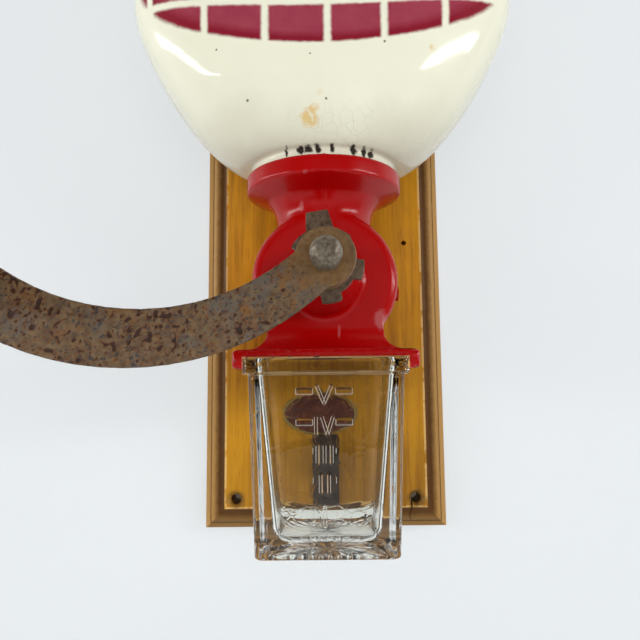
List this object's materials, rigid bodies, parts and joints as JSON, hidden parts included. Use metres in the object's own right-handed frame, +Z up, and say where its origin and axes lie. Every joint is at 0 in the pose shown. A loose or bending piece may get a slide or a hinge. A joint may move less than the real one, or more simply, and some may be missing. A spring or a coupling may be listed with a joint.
{
  "type": "wall mounted coffee mill",
  "caption": "Wall-mounted hand coffee mill: ceramic hopper over a cast-iron cone burr mill on a wooden board, with a swept crank and a glass measuring cup in rails.",
  "frame": {"origin": "centre of the board's back face, on the wall plane", "axes": "-Y out of the wall towards the user, +Z up, +X to the right seen from the front"},
  "size_m": [0.2155, 0.1837, 0.33],
  "materials": {
    "board_wood": "varnished beech, worn at the edges",
    "red_enamel": "glossy red enamel on cast iron, chipped",
    "cream_glaze": "crazed cream glaze with a red block pattern",
    "rusty_steel": "bare steel with brown rust",
    "bright_steel": "dull bare steel",
    "spring_steel": "blued spring steel, darkened",
    "burr_iron": "as cast",
    "bronze": "plain bearing bronze",
    "tin_plate": "pressed tin plate",
    "cup_glass": "thick clear pressed glass",
    "lid_wood": "varnished beech",
    "knob_wood": "dark stained beech"
  },
  "bodies": {
    "housing": {"backboard": "board_wood", "mill_body": "red_enamel", "hopper": "cream_glaze", "throat_sleeve": "tin_plate", "sleeve_screws": "bright_steel", "burr_ring": "burr_iron", "ring_screw": "bright_steel", "front_bush": "bronze", "rear_bridge": "burr_iron", "bridge_screws": "bright_steel", "body_screws": "bright_steel", "leaf_spring": "spring_steel", "leaf_screw": "bright_steel"},
    "lid": {"lid_plate": "lid_wood", "lid_knob": "lid_wood", "lid_screw": "bright_steel"},
    "cup": {"glass_cup": "cup_glass"},
    "key": {"key_plate": "rusty_steel"},
    "star": {"star_nut": "rusty_steel"},
    "spindle": {"shaft": "bright_steel", "inner_burr": "burr_iron", "burr_drive_pin": "bright_steel", "thrust_spring": "spring_steel", "crank_arm": "rusty_steel", "crank_nut": "bright_steel", "knob_pin": "bright_steel"},
    "knob": {"crank_knob": "knob_wood"}
  },
  "joints": [
    {"name": "crank_turn", "type": "hinge", "parent": "housing", "child": "key", "pos_m": [0, -0.1114, -0.053], "axis": [0, 1, 0], "continuous": true},
    {"name": "grind_adjust", "type": "hinge", "parent": "key", "child": "star", "pos_m": [0, -0.10905, -0.053], "axis": [0, 1, 0], "range_deg": [-180, 180]},
    {"name": "burr_feed", "type": "slide", "parent": "key", "child": "spindle", "axis": [0, -1, 0], "range_m": [-0.00063, 0.00063]},
    {"name": "knob_spin", "type": "hinge", "parent": "spindle", "child": "knob", "pos_m": [-0.118, -0.159, -0.061], "axis": [0, -1, 0], "continuous": true},
    {"name": "cup_slide", "type": "slide", "parent": "housing", "child": "cup", "axis": [0, -1, 0], "range_m": [0, 0.08]},
    {"name": "lid_lift", "type": "slide", "parent": "housing", "child": "lid", "axis": [0, 0, 1], "range_m": [0, 0.06]}
  ],
  "couplings": [
    {"joint": "grind_adjust", "follows": "burr_feed", "rad_per_m": 5026.5}
  ]
}
